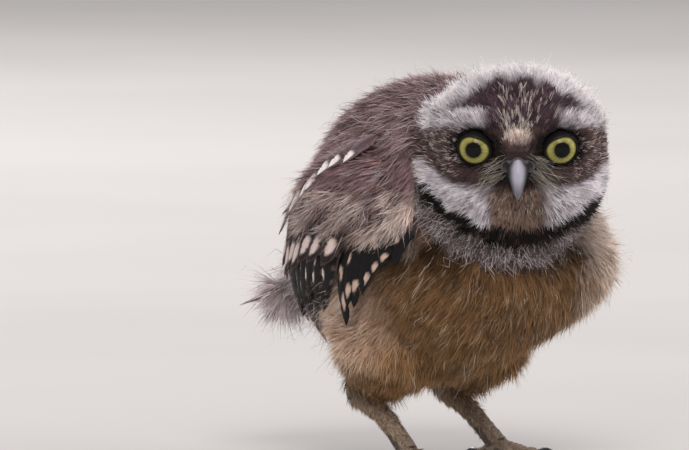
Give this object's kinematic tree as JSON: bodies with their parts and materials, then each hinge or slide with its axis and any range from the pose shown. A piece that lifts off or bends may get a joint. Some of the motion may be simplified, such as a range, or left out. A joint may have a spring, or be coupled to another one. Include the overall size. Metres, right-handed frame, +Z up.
{
  "type": "standing owl model",
  "caption": "Life-size still model of a downy young burrowing owl, crouched forward on both feet with its head low and turned to its right.",
  "frame": {"origin": "middle of the bounding box at floor level, under the belly", "axes": "+Z up; the body faces -Y with the tail towards +Y; +X is the bird's own left"},
  "size_m": [0.1058, 0.1712, 0.1479],
  "materials": {
    "dark_down": "soft dark brown down with pale and white tufts",
    "buff_down": "soft buff down",
    "feather": "brown vaned feathers with pale pinkish spots",
    "eye": "wet, dull yellow iris round a black pupil",
    "bill": "smooth pale grey horn",
    "leg_skin": "scaly grey-brown skin under short bristles",
    "claw": "smooth black horn"
  },
  "bodies": {
    "root": {"head": "dark_down", "neck": "dark_down", "torso": "buff_down", "thigh_right": "buff_down", "thigh_left": "buff_down", "wing_right": "feather", "wing_left": "feather", "tail": "feather", "eye_right": "eye", "eye_left": "eye", "bill_upper": "bill", "bill_lower": "bill", "shank_right": "leg_skin", "shank_left": "leg_skin", "foot_right": "leg_skin", "foot_left": "leg_skin", "claw_inner_right": "claw", "claw_middle_right": "claw", "claw_outer_right": "claw", "claw_hind_right": "claw", "claw_inner_left": "claw", "claw_middle_left": "claw", "claw_outer_left": "claw", "claw_hind_left": "claw"}
  },
  "joints": []
}
